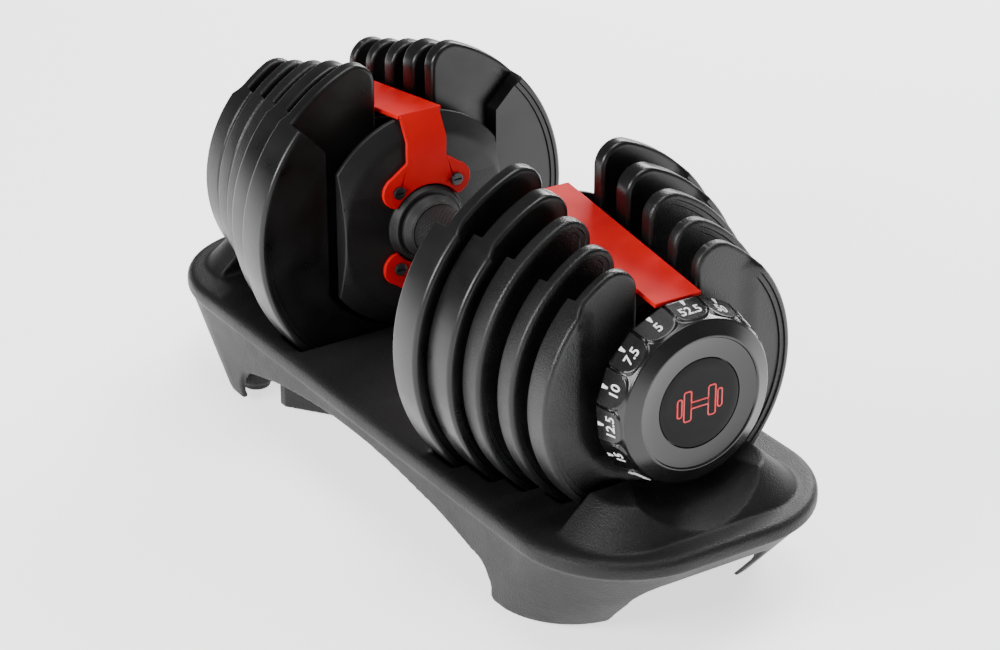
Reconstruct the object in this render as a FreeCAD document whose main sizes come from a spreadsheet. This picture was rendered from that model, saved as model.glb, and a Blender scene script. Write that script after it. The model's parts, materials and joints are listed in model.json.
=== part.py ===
import FreeCAD, Part
import math
import os

import Sketcher

# Adjustable dumbbell in its cradle. Millimetres, +Z up, +X along the handle.
# The origin is on the floor under the middle of the cradle.

Vector = FreeCAD.Vector
Rotation = FreeCAD.Rotation
Placement = FreeCAD.Placement

DOC = FreeCAD.newDocument("adjustable_dumbbell")
SHEET = DOC.addObject("Spreadsheet::Sheet", "Dims")

PLATES = 5
SETTINGS = 15
# Weight of each plate in pounds, from the handle outwards, and every setting of the dial.
PLATE_POUNDS = (10.0, 5.0, 5.0, 2.5, 1.25)
DIAL_POUNDS = (5, 7.5, 10, 12.5, 15, 17.5, 20, 22.5, 25, 30, 35, 40, 45, 50, 52.5)
EMPTY_HANDLE_POUNDS = 5
SETTING_TURN = 360 / SETTINGS
# How far a cutting outline reaches past the piece, and the shallowest recess worth cutting.
CLEAR = 12
LEAST_CUT = 0.5

DRIVING = {
    "axis_height": 125, "slot_half": 18, "lobe_round": 13, "rim_round": 3, "web_sink": 2,
    "skin": 1.5, "running_gap": 0.05,
    # plates: start along the handle, width of the rim, outer radius, start and end of the thin tab
    "plate_start_one": 68, "plate_wide_one": 22, "plate_rad_one": 98, "tab_from_one": 78,
    "tab_to_one": 87,
    "plate_start_two": 91.5, "plate_wide_two": 21.5, "plate_rad_two": 92, "tab_from_two": 98,
    "tab_to_two": 110,
    "plate_start_three": 115, "plate_wide_three": 15, "plate_rad_three": 86, "tab_from_three": 120.5,
    "tab_to_three": 130,
    "plate_start_four": 138, "plate_wide_four": 13, "plate_rad_four": 80, "tab_from_four": 143,
    "tab_to_four": 151,
    "plate_start_five": 161, "plate_wide_five": 13, "plate_rad_five": 75.5, "tab_from_five": 163,
    "tab_to_five": 170,
    "border_out": 8, "border_in": 12, "border_slope": 1,
    "recess_half": 55, "recess_low_rad": 66, "recess_flare": 24, "recess_flare_from": 50,
    "channel_half": 47, "channel_low_rad": 49,
    "lug_half": 7, "lug_long": 5.5, "lug_top": 21, "lug_low": 38.3,
    # selector discs
    "disc_rad": 43, "disc_flange": 4, "disc_web": 3, "disc_deep": 9, "disc_gap": 0.7, "hub_rad": 14,
    "end_play": 0.2, "groove_deep": 2.3, "dimple_rad": 1.4, "dimple_deep": 0.6, "notch_play": 0.3,
    # handle
    "shaft_rad": 9, "shaft_end": 189.9, "bolt_rad": 4, "bolt_deep": 22, "bolt_head_rad": 8,
    "bolt_head_high": 4.5, "socket_rad": 4, "socket_deep": 3, "washer_rad": 14, "washer_thick": 1.5,
    "grip_end": 45, "grip_mid_rad": 17, "grip_end_rad": 14.5, "core_rad": 11,
    "collar_end": 52, "collar_rad": 15.5, "collar_flange": 3, "collar_flange_wide": 2, "collar_taper": 1.5,
    "support_face": 57, "support_back": 67.3, "support_rad": 63, "support_flat": 51, "support_boss": 21,
    "support_bevel": 13, "support_edge": 2.5, "boss_face": 52, "boss_foot_rad": 23.4,
    "channel_wall": 2, "post_notch_wall": 1, "post_notch_low": 54, "screw_deep": 8,
    # dial
    "dial_back": 179.4, "dial_front": 200, "dial_back_rad": 49.5, "dial_front_rad": 44.5, "dial_face_rad": 35,
    "cap_rad": 24, "cap_thick": 2.5, "cap_sink": 1, "cap_edge": 0.6, "dial_hollow": 20.5,
    "dial_floor": 189.7, "ring_sink": 1.5, "face_edge": 2, "bevel_drop": 1, "front_edge": 3.5,
    "back_edge": 1.5,
    # red bridge
    "strip_half": 14, "strip_thick": 2.5, "strip_high": 65, "strip_seat": 61.5, "strip_low": 49.5,
    "foot_across": 18.5,
    "foot_up": 23, "foot_round": 9.5, "foot_leg_half": 12.5, "foot_arc": 23.5, "eye_rad": 2.2,
    "screw_rad": 1.98, "screw_long": 9.5, "screw_head_rad": 3.6, "screw_head_high": 1.8,
    "screw_slot": 0.9, "screw_slot_deep": 0.8,
    # cradle
    "rim_length": 228, "rim_width": 84, "rim_corner": 60, "floor_length": 182, "floor_width": 79,
    "floor_corner": 45, "foot_proud": 4, "rim_low": 52, "deck_high": 61, "wall": 3.5, "lip": 1.5,
    "arch_half": 132, "arch_high": 43.5, "arch_shoulder": 25.5, "end_arch_half": 40, "end_arch_high": 38,
    "rib_out_x": 134, "rib_out_y": 80, "rib_in_x": 86, "rib_in_y": 45,
    "arch_corner": 10, "arch_corner_drop": 14, "arch_inside": 64, "end_arch_round": 12,
    "saddle_high": 79, "saddle_in": 175.5, "saddle_out": 216, "saddle_scoop": 52, "saddle_foot_half": 70,
    "saddle_top_half": 49, "saddle_slope": 13, "saddle_foot_corner": 34, "saddle_top_corner": 20,
    "scoop_flare": 12, "scoop_long": 45,
    "post_high": 8, "post_across": 5, "post_round": 0.8, "pin_half": 3, "pin_low": 55.7, "pin_top": 23.2,
    "tip_low": 27.2, "tip_long": 3.2, "pin_play": 0.3, "channel_top": 16, "detent_out": 38.5,
    "ball_rad": 2.5, "ball_proud": 0.9,
    "lock_in": 22.6, "lock_out": 31.5, "lock_notch": 36, "plate_gap": 1.5, "plate_side_gap": 0.8,
    "boss_x": 150, "boss_y": 60, "boss_wall": 2.5, "rubber_rad": 8, "rubber_high": 6, "rubber_round": 1.2,
}
ORDER = ("one", "two", "three", "four", "five")


class Size:
    """A length that knows both its number and the sheet expression it comes from."""

    def __init__(self, number, text):
        self.number = number
        self.text = text

    @staticmethod
    def of(thing):
        return thing if isinstance(thing, Size) else Size(float(thing), repr(float(thing)))

    def combine(self, sign, other, number):
        return Size(number, "(%s %s %s)" % (self.text, sign, other.text))

    def __add__(self, other):
        other = Size.of(other)
        return self.combine("+", other, self.number + other.number)

    def __sub__(self, other):
        other = Size.of(other)
        return self.combine("-", other, self.number - other.number)

    def __mul__(self, other):
        other = Size.of(other)
        return self.combine("*", other, self.number * other.number)

    def __truediv__(self, other):
        other = Size.of(other)
        return self.combine("/", other, self.number / other.number)

    def __neg__(self):
        return self * -1

    def root(self):
        return Size(math.sqrt(self.number), "sqrt(%s)" % self.text)


def fill_sheet():
    """Write the driving dimensions as plain numbers with aliases."""
    for row, (alias, number) in enumerate(DRIVING.items(), start=1):
        SHEET.set("A%d" % row, alias)
        SHEET.set("B%d" % row, str(number))
        SHEET.setAlias("B%d" % row, alias)
    DOC.recompute()
    return {alias: Size(float(getattr(SHEET, alias)), "Dims." + alias) for alias in DRIVING}


DIM = fill_sheet()


def num(alias):
    return DIM[alias].number


def bind(thing, prop, size):
    thing.setExpression(prop, Size.of(size).text)


# ---------------------------------------------------------------- sketches and bodies

def new_body(name):
    body = DOC.addObject("PartDesign::Body", name)
    body.Label = name
    return body


def seat(thing, far=False):
    """Put a piece drawn about the handle's axis at the axis' height, turned round for the far end."""
    thing.Placement = Placement(Vector(0, 0, 0), Rotation(Vector(0, 0, 1), 180 if far else 0))
    bind(thing, ".Placement.Base.z", DIM["axis_height"])


def sketch_on(body, plane, name, offset=None):
    sketch = body.newObject("Sketcher::SketchObject", name)
    found = [one for one in body.Origin.OriginFeatures if one.Role == plane]
    sketch.AttachmentSupport = [(found[0], "")]
    sketch.MapMode = "FlatFace"
    if offset is not None:
        bind(sketch, ".AttachmentOffset.Base.z", offset)
    return sketch


def hold_point(sketch, edge, point, across, up):
    """Hold one point of an edge by bound distances from the origin; None leaves a direction free."""
    for kind, size, axis in (("DistanceX", across, -2), ("DistanceY", up, -1)):
        if size is None:
            continue
        size = Size.of(size)
        if abs(size.number) < 1e-9:
            sketch.addConstraint(Sketcher.Constraint("PointOnObject", edge, point, axis))
            continue
        index = sketch.addConstraint(Sketcher.Constraint(kind, -1, 1, edge, point, size.number))
        sketch.setExpression("Constraints[%d]" % index, size.text)


def spot(across, up):
    return Vector(Size.of(across).number, Size.of(up).number, 0)


def outline(sketch, stops):
    """Closed outline through stops (across, up). After a stop an arc may follow, given as
    (across, up, centre across, centre up, side): side 1 bulges left of the way there, -1 right."""
    count = len(stops)
    places = [spot(stop[0], stop[1]) for stop in stops]
    ends = []
    for index, stop in enumerate(stops):
        here = places[index]
        there = places[(index + 1) % count]
        if len(stop) == 2:
            ends.append((sketch.addGeometry(Part.LineSegment(here, there)), 1, 2))
            continue
        centre = spot(stop[2], stop[3])
        way = there - here
        clockwise = stop[4] == 1
        first, last = (there, here) if clockwise else (here, there)
        turn = [math.atan2((end - centre).y, (end - centre).x) for end in (first, last)]
        if turn[1] <= turn[0]:
            turn[1] += 2 * math.pi
        ring = Part.Circle(centre, Vector(0, 0, 1), (here - centre).Length)
        edge = sketch.addGeometry(Part.ArcOfCircle(ring, turn[0], turn[1]))
        ends.append((edge, 2, 1) if clockwise else (edge, 1, 2))
        flat = abs(way.x) > abs(way.y)
        hold_point(sketch, edge, 3, None if flat else stop[2], stop[3] if flat else None)
    for index, stop in enumerate(stops):
        edge, first, last = ends[index]
        other, other_first, other_last = ends[(index + 1) % count]
        sketch.addConstraint(Sketcher.Constraint("Coincident", edge, last, other, other_first))
        hold_point(sketch, edge, first, stop[0], stop[1])


def circle(sketch, across, up, radius):
    radius = Size.of(radius)
    edge = sketch.addGeometry(Part.Circle(spot(across, up), Vector(0, 0, 1), radius.number))
    bound = sketch.addConstraint(Sketcher.Constraint("Radius", edge, radius.number))
    sketch.setExpression("Constraints[%d]" % bound, radius.text)
    hold_point(sketch, edge, 3, across, up)


def revolve(body, stops):
    """Turn a closed half-profile (along the handle, radius) about the handle's axis."""
    sketch = sketch_on(body, "XZ_Plane", body.Name + "_profile")
    outline(sketch, stops)
    turned = body.newObject("PartDesign::Revolution", body.Name + "_turned")
    turned.Profile = sketch
    turned.ReferenceAxis = (sketch, ["H_Axis"])
    turned.Angle = 360
    DOC.recompute()
    return turned


def pocket(body, sketch, length=None, towards=1):
    """Cut along the handle: towards 1 cuts to +X from the sketch, -1 to -X; no length cuts through."""
    before = body.Shape.Volume
    cut = body.newObject("PartDesign::Pocket", sketch.Name + "_cut")
    cut.Profile = sketch
    if length is None:
        cut.Type = 1
        cut.Midplane = True
    else:
        bind(cut, "Length", length)
        cut.Reversed = towards == 1
    DOC.recompute()
    if body.Shape.Volume > before - 1:
        raise RuntimeError(sketch.Name + " cut nothing")
    return cut


def pad(body, sketch, length, towards=1):
    grown = body.newObject("PartDesign::Pad", sketch.Name + "_pad")
    grown.Profile = sketch
    bind(grown, "Length", length)
    grown.Reversed = towards == -1
    DOC.recompute()
    return grown


def round_edges(body, base, radius, wanted):
    """Fillet the edges of a feature that the test accepts."""
    names = ["Edge%d" % (index + 1) for index, edge in enumerate(base.Shape.Edges) if wanted(edge)]
    rounded = body.newObject("PartDesign::Fillet", body.Name + "_round")
    rounded.Base = (base, names)
    bind(rounded, "Radius", radius)
    DOC.recompute()
    return rounded


def is_ring(edge, radius):
    curve = edge.Curve
    return isinstance(curve, Part.Circle) and abs(curve.Radius - radius) < 0.01


# ---------------------------------------------------------------- weight plates

def plate_sizes(index):
    word = ORDER[index]
    return [DIM[name % word] for name in ("plate_start_%s", "plate_wide_%s", "plate_rad_%s",
                                          "tab_from_%s", "tab_to_%s")]


def slot_outline(radius, grow):
    """U slot about the axis, open at the top, with round lobes where it leaves the rim."""
    half = DIM["slot_half"] + grow
    lobe = DIM["lobe_round"] - grow
    centre_up = ((radius - lobe) * (radius - lobe) - (half + lobe) * (half + lobe)).root()
    reach = radius / (radius - lobe)
    tip_across = (half + lobe) * reach
    tip_up = centre_up * reach
    over = radius + CLEAR
    zero = Size.of(0)
    return [(half, centre_up, half + lobe, centre_up, 1), (tip_across, tip_up), (tip_across, over),
            (-tip_across, over), (-tip_across, tip_up, -(half + lobe), centre_up, 1), (-half, centre_up),
            (-half, zero, zero, zero, -1), (half, zero)]


def recess_outline(radius, half, low, grow):
    """Recess round the slot: straight sides, flared at the top, round at the bottom."""
    half = half + grow
    low = low + grow
    flare_up = DIM["recess_flare_from"]
    side_up = -((low * low - half * half).root())
    flare = DIM["recess_flare"] + CLEAR
    top = half + flare
    over = radius + CLEAR * 2
    return [(half, side_up), (half, flare_up), (top, flare_up + flare), (top, over), (-top, over),
            (-top, flare_up + flare), (-half, flare_up), (-half, side_up, Size.of(0), Size.of(0), -1)]


def plate_profile(start, wide, radius, handle_sink):
    """Half-profile of a plate: thick rim, slightly sunk web with a step line."""
    end = start + wide
    sink = DIM["web_sink"]
    rim = radius - DIM["border_out"]
    step = radius - DIM["border_in"]
    slope = DIM["border_slope"]
    return [(start + handle_sink, Size.of(0)), (end - sink, Size.of(0)), (end - sink, step),
            (end - sink * 0.5, step), (end - sink * 0.5, rim), (end, rim + slope), (end, radius),
            (start, radius), (start, rim + slope), (start + handle_sink * 0.5, rim),
            (start + handle_sink * 0.5, step), (start + handle_sink, step)]


def plate_body(name, index, far, grow):
    """A plate's outer form (grow 0), or the steel inside it (grow is the skin's thickness)."""
    start, wide, radius, tab_from, tab_to = plate_sizes(index)
    body = new_body(name)
    zero = Size.of(0)
    if grow:
        inset = DIM["web_sink"] + grow
        rim = radius - DIM["rim_round"] - grow
        revolve(body, [(start + inset, zero), (start + wide - inset, zero), (start + wide - inset, rim),
                       (start + inset, rim)])
    else:
        turned = revolve(body, plate_profile(start, wide, radius, DIM["web_sink"]))
        round_edges(body, turned, DIM["rim_round"], lambda edge: is_ring(edge, radius.number))
    skin = DIM["skin"] * (1 if grow else 0)
    slot = sketch_on(body, "YZ_Plane", name + "_slot")
    outline(slot, slot_outline(radius, skin))
    pocket(body, slot)
    half = DIM["recess_half"] if index == 0 else DIM["channel_half"]
    low = DIM["recess_low_rad"] if index == 0 else DIM["channel_low_rad"]
    if (tab_from - start - skin).number > LEAST_CUT:
        handle_side = sketch_on(body, "YZ_Plane", name + "_handle_recess", tab_from + skin)
        outline(handle_side, recess_outline(radius, half, low, skin))
        pocket(body, handle_side, DIM["plate_wide_one"], -1)
    dial_face = start + wide - skin
    if dial_face.number - (tab_to - skin).number > LEAST_CUT:
        dial_side = sketch_on(body, "YZ_Plane", name + "_dial_recess", tab_to - skin)
        outline(dial_side, recess_outline(radius, half, low, skin))
        pocket(body, dial_side, DIM["plate_wide_one"], 1)
    if not grow:
        lug = sketch_on(body, "YZ_Plane", name + "_lug", tab_from)
        lug_half = DIM["lug_half"]
        outline(lug, [(lug_half, -DIM["lug_top"]), (-lug_half, -DIM["lug_top"]),
                      (-lug_half, -DIM["lug_low"]), (lug_half, -DIM["lug_low"])])
        pad(body, lug, DIM["lug_long"], -1)
    seat(body, far)
    return body


def cut(name, base, tool):
    node = DOC.addObject("Part::Cut", name)
    node.Label = name
    node.Base = base
    node.Tool = tool
    return node


def plates(side, far):
    nodes = []
    for index in range(PLATES):
        tag = "%s_%d" % (side, index + 1)
        core = plate_body("plate_core_" + tag, index, far, DIM["skin"])
        form = plate_body("plate_form_" + tag, index, far, 0)
        nodes += [core, cut("plate_shell_" + tag, form, core)]
    return nodes


# ---------------------------------------------------------------- selector discs and dial

def chosen_plates(pounds):
    """The plates of one end that a dial setting picks up, heaviest first."""
    left = (pounds - EMPTY_HANDLE_POUNDS) / 2
    chosen = set()
    for index in sorted(range(PLATES), key=lambda one: -PLATE_POUNDS[one]):
        if PLATE_POUNDS[index] <= left + 0.01:
            chosen.add(index)
            left -= PLATE_POUNDS[index]
    return chosen


def open_runs(index):
    """First setting and number of settings of each run in which the plate is left behind."""
    left = [index not in chosen_plates(pounds) for pounds in DIAL_POUNDS]
    runs = []
    for place, missing in enumerate(left):
        if missing and (place == 0 or not left[place - 1]):
            length = 1
            while place + length < SETTINGS and left[place + length]:
                length += 1
            runs.append((place, length))
    return runs


def selector_disc(name, index, far):
    """Disc with a flange that passes under the plate's lug at the settings that lift the plate."""
    tab_from = plate_sizes(index)[3]
    back = tab_from - DIM["disc_gap"] - DIM["disc_deep"]
    front = tab_from - DIM["disc_gap"]
    web = back + DIM["disc_web"]
    if index + 1 < PLATES:
        hub_end = plate_sizes(index + 1)[3] - DIM["disc_gap"] - DIM["disc_deep"]
    else:
        hub_end = DIM["dial_back"] + DIM["end_play"]
    bore = DIM["shaft_rad"] + DIM["running_gap"]
    rad = DIM["disc_rad"]
    body = new_body(name)
    revolve(body, [(back, bore), (hub_end, bore), (hub_end, DIM["hub_rad"]), (web, DIM["hub_rad"]),
                   (web, rad - DIM["disc_flange"]), (front, rad - DIM["disc_flange"]), (front, rad),
                   (back, rad)])
    for place, length in open_runs(index):
        gap = sketch_on(body, "YZ_Plane", "%s_gap_%d" % (name, place), web)
        first = math.radians(-90 + SETTING_TURN * (place + 0.5))
        last = math.radians(-90 + SETTING_TURN * (place + length + 0.5))
        steps = max(2, 2 * length)
        reach = rad.number + DIM["disc_flange"].number * 1.5
        inner = rad.number - DIM["disc_flange"].number * 1.1
        stops = []
        for radius, order in ((reach, range(steps + 1)), (inner, range(steps, -1, -1))):
            for step in order:
                angle = first + (last - first) * step / steps
                stops.append((Size.of(radius * math.cos(angle)), Size.of(radius * math.sin(angle))))
        outline(gap, stops)
        pocket(body, gap, DIM["disc_deep"], 1)
    if index == 0:
        lock_ring(body, back)
    seat(body, far)
    return body


def lock_ring(body, back):
    """Groove with a notch per setting for the lock pin, and a dimple per setting for the ball."""
    groove = sketch_on(body, "YZ_Plane", body.Name + "_groove", back)
    circle(groove, 0, 0, DIM["lock_in"])
    circle(groove, 0, 0, DIM["lock_out"])
    pocket(body, groove, DIM["groove_deep"], 1)
    half = DIM["pin_half"] + DIM["notch_play"]
    notch = sketch_on(body, "YZ_Plane", body.Name + "_notch", back)
    start = -(DIM["lock_out"] - DIM["pin_half"] / 3)
    outline(notch, [(half, start), (-half, start),
                    (-half, -DIM["lock_notch"]), (half, -DIM["lock_notch"])])
    first = pocket(body, notch, DIM["groove_deep"], 1)
    dimple = sketch_on(body, "YZ_Plane", body.Name + "_dimple", back)
    circle(dimple, 0, DIM["detent_out"], DIM["dimple_rad"])
    second = pocket(body, dimple, DIM["dimple_deep"], 1)
    for feature_to_turn in (first, second):
        ring = body.newObject("PartDesign::PolarPattern", feature_to_turn.Name + "_ring")
        ring.Originals = [feature_to_turn]
        ring.Axis = (feature_to_turn.Profile[0], ["N_Axis"])
        ring.Angle = 360
        ring.Occurrences = SETTINGS
        body.Tip = ring
        DOC.recompute()


def dial(name, far):
    """Number ring, bevelled front and hollow hub in one moulding."""
    back = DIM["dial_back"] + DIM["end_play"]
    front = DIM["dial_front"]
    bore = DIM["shaft_rad"] + DIM["running_gap"]
    seat_back = front - DIM["cap_thick"] - DIM["cap_sink"]
    ring = front - DIM["ring_sink"]
    face_rad = DIM["dial_face_rad"]
    front_rad = DIM["dial_front_rad"]
    drop = DIM["bevel_drop"]
    edge = DIM["back_edge"]
    body = new_body(name)
    revolve(body, [
        (back, bore), (DIM["dial_floor"], bore), (DIM["dial_floor"], DIM["dial_hollow"]),
        (seat_back, DIM["dial_hollow"]), (seat_back, DIM["cap_rad"]), (ring, DIM["cap_rad"]),
        (ring, face_rad), (front, face_rad + DIM["face_edge"]), (front - drop, front_rad - drop),
        (front - DIM["front_edge"], front_rad + drop / 2), (back + edge, DIM["dial_back_rad"]),
        (back, DIM["dial_back_rad"] - drop)])
    seat(body, far)
    return body


def emblem_cap(name, far):
    front = DIM["dial_front"] - DIM["cap_sink"]
    back = front - DIM["cap_thick"]
    rad = DIM["cap_rad"] - DIM["running_gap"]
    edge = DIM["cap_edge"]
    body = new_body(name)
    revolve(body, [(back, Size.of(0)), (front, Size.of(0)), (front, rad - edge), (front - edge, rad),
                   (back, rad)])
    seat(body, far)
    return body


# ---------------------------------------------------------------- handle

def handle_shaft():
    zero = Size.of(0)
    end = DIM["shaft_end"]
    step = DIM["support_back"]
    body = new_body("handle_shaft")
    bolt = DIM["bolt_rad"] + DIM["running_gap"]
    deep = DIM["bolt_deep"]
    revolve(body, [
        (-end, bolt), (-end, DIM["shaft_rad"]), (-step, DIM["shaft_rad"]), (-step, DIM["core_rad"]),
        (step, DIM["core_rad"]), (step, DIM["shaft_rad"]), (end, DIM["shaft_rad"]), (end, bolt),
        (end - deep, bolt), (end - deep, zero), (-(end - deep), zero), (-(end - deep), bolt)])
    seat(body)
    return body


def grip_sleeve():
    """Contoured grip: fuller in the middle, waisted towards its ends."""
    end = DIM["grip_end"]
    core = DIM["core_rad"]
    zero = Size.of(0)
    drop = DIM["grip_mid_rad"] - DIM["grip_end_rad"]
    centre = DIM["grip_mid_rad"] - (end * end + drop * drop) / (drop * 2)
    body = new_body("grip_sleeve")
    revolve(body, [(-end, core), (end, core), (end, DIM["grip_end_rad"], zero, centre, -1),
                   (-end, DIM["grip_end_rad"])])
    seat(body)
    return body


def grip_collar(name, far):
    start = DIM["grip_end"]
    end = DIM["collar_end"]
    core = DIM["core_rad"]
    body = new_body(name)
    rad = DIM["collar_rad"]
    flange = rad + DIM["collar_flange"]
    revolve(body, [(start, core), (end, core), (end, flange), (end - DIM["collar_flange_wide"], flange),
                   (start + DIM["collar_taper"], rad), (start, rad)])
    seat(body, far)
    return body


def support_disc(name, far):
    """Inner disc: bevelled edge, flat sides, cone up to the boss that holds the grip."""
    face = DIM["support_face"]
    back = DIM["support_back"]
    rad = DIM["support_rad"]
    core = DIM["core_rad"]
    body = new_body(name)
    revolve(body, [(back, core), (back, rad), (back - DIM["support_edge"], rad),
                   (face, rad - DIM["support_bevel"]), (face, DIM["boss_foot_rad"]),
                   (DIM["boss_face"], DIM["support_boss"]), (DIM["boss_face"], core)])
    sides = sketch_on(body, "YZ_Plane", name + "_sides")
    flat = DIM["support_flat"]
    for sign in (1, -1):
        outline(sides, [(flat * sign, -rad), ((flat + CLEAR * 2) * sign, -rad),
                        ((flat + CLEAR * 2) * sign, rad), (flat * sign, rad)])
    pocket(body, sides)
    channel = sketch_on(body, "YZ_Plane", name + "_pin_channel", face + DIM["channel_wall"])
    half = DIM["pin_half"] + DIM["notch_play"] / 2
    top = -DIM["channel_top"]
    below = -(rad + CLEAR)
    through = back - face + CLEAR
    outline(channel, [(half, top), (-half, top), (-half, below), (half, below)])
    pocket(body, channel, through, 1)
    notch = sketch_on(body, "YZ_Plane", name + "_post_notch", face + DIM["post_notch_wall"])
    half = DIM["post_across"] + DIM["notch_play"] * 2
    low = -DIM["post_notch_low"]
    outline(notch, [(half, low), (-half, low), (-half, below), (half, below)])
    pocket(body, notch, DIM["support_back"] - face - DIM["post_notch_wall"], 1)
    ball_hole = sketch_on(body, "YZ_Plane", name + "_ball_hole", face + DIM["channel_wall"])
    circle(ball_hole, 0, DIM["detent_out"], DIM["ball_rad"] + DIM["running_gap"] * 2)
    pocket(body, ball_hole, through, 1)
    strip_seat = sketch_on(body, "YZ_Plane", name + "_strip_seat",
                           back - DIM["support_edge"] - DIM["notch_play"] * 3)
    half = DIM["strip_half"] + DIM["notch_play"]
    low = DIM["strip_seat"]
    outline(strip_seat, [(half, low), (half, rad + CLEAR), (-half, rad + CLEAR), (-half, low)])
    pocket(body, strip_seat, through, 1)
    holes = sketch_on(body, "YZ_Plane", name + "_screw_holes")
    hole_rad = DIM["screw_rad"] + DIM["running_gap"]
    for across in (1, -1):
        for up in (1, -1):
            circle(holes, DIM["foot_across"] * across, DIM["foot_up"] * up, hole_rad)
    screw_holes = body.newObject("PartDesign::Pocket", name + "_screw_holes_cut")
    screw_holes.Profile = holes
    screw_holes.Type = 0
    bind(screw_holes, "Length", face + DIM["screw_deep"])
    screw_holes.Reversed = True
    DOC.recompute()
    seat(body, far)
    return body


def block(low, high):
    size = high - low
    return Part.makeBox(size.x, size.y, size.z, low)


def tube(radius, start, end, centre_height):
    return Part.makeCylinder(radius, end - start, Vector(start, 0, centre_height), Vector(1, 0, 0))


def feature(name, shape, far=False):
    """A piece whose shape is built from Part's own solids, about the handle's axis."""
    node = DOC.addObject("Part::Feature", name)
    node.Label = name
    node.Shape = shape
    seat(node, far)
    return node


def strip_profile(width_half, points, thick):
    """Strip of constant thickness that follows points in the plane along the handle."""
    outer = [Vector(x, 0, z) for x, z in points]
    inner = []
    for index, point in enumerate(outer):
        before = outer[max(index - 1, 0)]
        after = outer[min(index + 1, len(outer) - 1)]
        normals = []
        for way in (point - before, after - point):
            if way.Length > 1e-6:
                normals.append(Vector(way.z, 0, -way.x).normalize())
        mean = normals[0] if len(normals) == 1 else (normals[0] + normals[1]).normalize()
        inner.append(point + mean * (thick / max(mean.dot(normals[0]), 0.3)))
    ring = outer + inner[::-1] + [outer[0]]
    face = Part.Face(Part.makePolygon([Vector(p.x, -width_half, p.z) for p in ring]))
    return face.extrude(Vector(0, 2 * width_half, 0))


def foot_mask(up_sign, top):
    """Outline of a bracket foot seen along the handle: leg, two eyes, arc round the boss."""
    across = num("foot_across")
    up = num("foot_up")
    rad = num("foot_round")
    leg = num("foot_leg_half")
    deep = 40
    start = num("support_face") - 20
    eyes = [Part.makeCylinder(rad, deep, Vector(start, sign * across, up), Vector(1, 0, 0))
            for sign in (1, -1)]
    fillet_up = up + rad + 6
    web = Part.Face(Part.makePolygon([
        Vector(start, leg, top), Vector(start, leg, fillet_up), Vector(start, across + 4, up + rad * 0.9),
        Vector(start, across, up - rad), Vector(start, -across, up - rad),
        Vector(start, -across - 4, up + rad * 0.9), Vector(start, -leg, fillet_up),
        Vector(start, -leg, top), Vector(start, leg, top)]))
    mask = web.extrude(Vector(deep, 0, 0)).fuse(eyes)
    mask = mask.cut(Part.makeCylinder(num("foot_arc"), deep, Vector(start, 0, 0), Vector(1, 0, 0)))
    holes = [Part.makeCylinder(num("eye_rad"), deep, Vector(start, sign * across, up), Vector(1, 0, 0))
             for sign in (1, -1)]
    mask = mask.cut(holes)
    if up_sign < 0:
        mask.rotate(Vector(0, 0, 0), Vector(1, 0, 0), 180)
    return mask


def upper_bridge(name, far):
    """Red bridge: over the selector discs to the dial, then down the support disc to two screws."""
    thick = num("strip_thick")
    face = num("support_face") - thick
    bend = num("support_rad") - num("support_bevel") + 0.9
    start = num("support_back") - num("support_edge") - thick
    end = num("dial_back") - 0.4
    roof = strip_profile(num("strip_half"), [(start, num("strip_high")), (end, num("strip_low"))], thick)
    leg = strip_profile(num("foot_round") * 3, [(start, num("strip_high")), (face, bend), (face, 0)], -thick)
    leg = leg.common(foot_mask(1, num("strip_high") + CLEAR))
    return feature(name, roof.fuse(leg).removeSplitter(), far)


def lower_bracket(name, far):
    """Red bracket under the boss, on the support disc's face."""
    thick = num("strip_thick")
    face = num("support_face")
    wide = num("foot_round") * 3
    low = num("support_rad") - num("support_bevel") - num("post_across") / 2
    plate = block(Vector(face - thick, -wide, -low), Vector(face, wide, 0))
    return feature(name, plate.common(foot_mask(-1, low)), far)


def foot_screws(name, up_sign):
    """Two pan-head screws through a bracket's eyes, at both ends of the handle."""
    face = num("support_face") - num("strip_thick")
    rad = num("screw_head_rad")
    high = num("screw_head_high")
    slot = num("screw_slot")
    solids = []
    for turn in (0, 180):
        for sign in (1, -1):
            at = Vector(face, sign * num("foot_across"), up_sign * num("foot_up"))
            head = Part.makeCylinder(rad, high, at - Vector(high, 0, 0), Vector(1, 0, 0))
            head = head.cut(block(at + Vector(-high - 1, -rad * 0.7, -slot / 2),
                                  at + Vector(num("screw_slot_deep") - high, rad * 0.7, slot / 2)))
            shank = Part.makeCylinder(num("screw_rad"), num("screw_long"), at, Vector(1, 0, 0))
            solid = head.fuse(shank)
            solid.rotate(Vector(0, 0, 0), Vector(0, 0, 1), turn)
            solids.append(solid)
    return feature(name, Part.makeCompound(solids))


def coil(radius, wire, pitch, length, start, axis):
    """Round-wire spring from start along axis, in a compound that keeps its own place."""
    helix = Part.makeHelix(pitch, length - wire * 2, radius)
    profile = Part.Wire(Part.makeCircle(wire, Vector(radius, 0, 0), Vector(0, 1, 0)))
    solid = Part.Wire(helix).makePipeShell([profile], True, True)
    solid.translate(Vector(0, 0, wire))
    turn = Rotation(Vector(0, 0, 1), axis)
    solid.Placement = Placement(start, turn).multiply(solid.Placement)
    return Part.makeCompound([solid])


def lock_pin(name, far):
    """Plunger in the support disc: the cradle's post holds it up, its tip frees the first disc."""
    back = num("support_face") + num("channel_wall") + num("pin_play") / 2
    front = num("support_back") - num("pin_play")
    half = num("pin_half")
    top = -num("pin_top")
    stem = block(Vector(back, -half, -num("pin_low")), Vector(front, half, top))
    tip = block(Vector(front, -half, -num("tip_low")), Vector(front + num("tip_long"), half, top))
    return feature(name, stem.fuse(tip).removeSplitter(), far)


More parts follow.
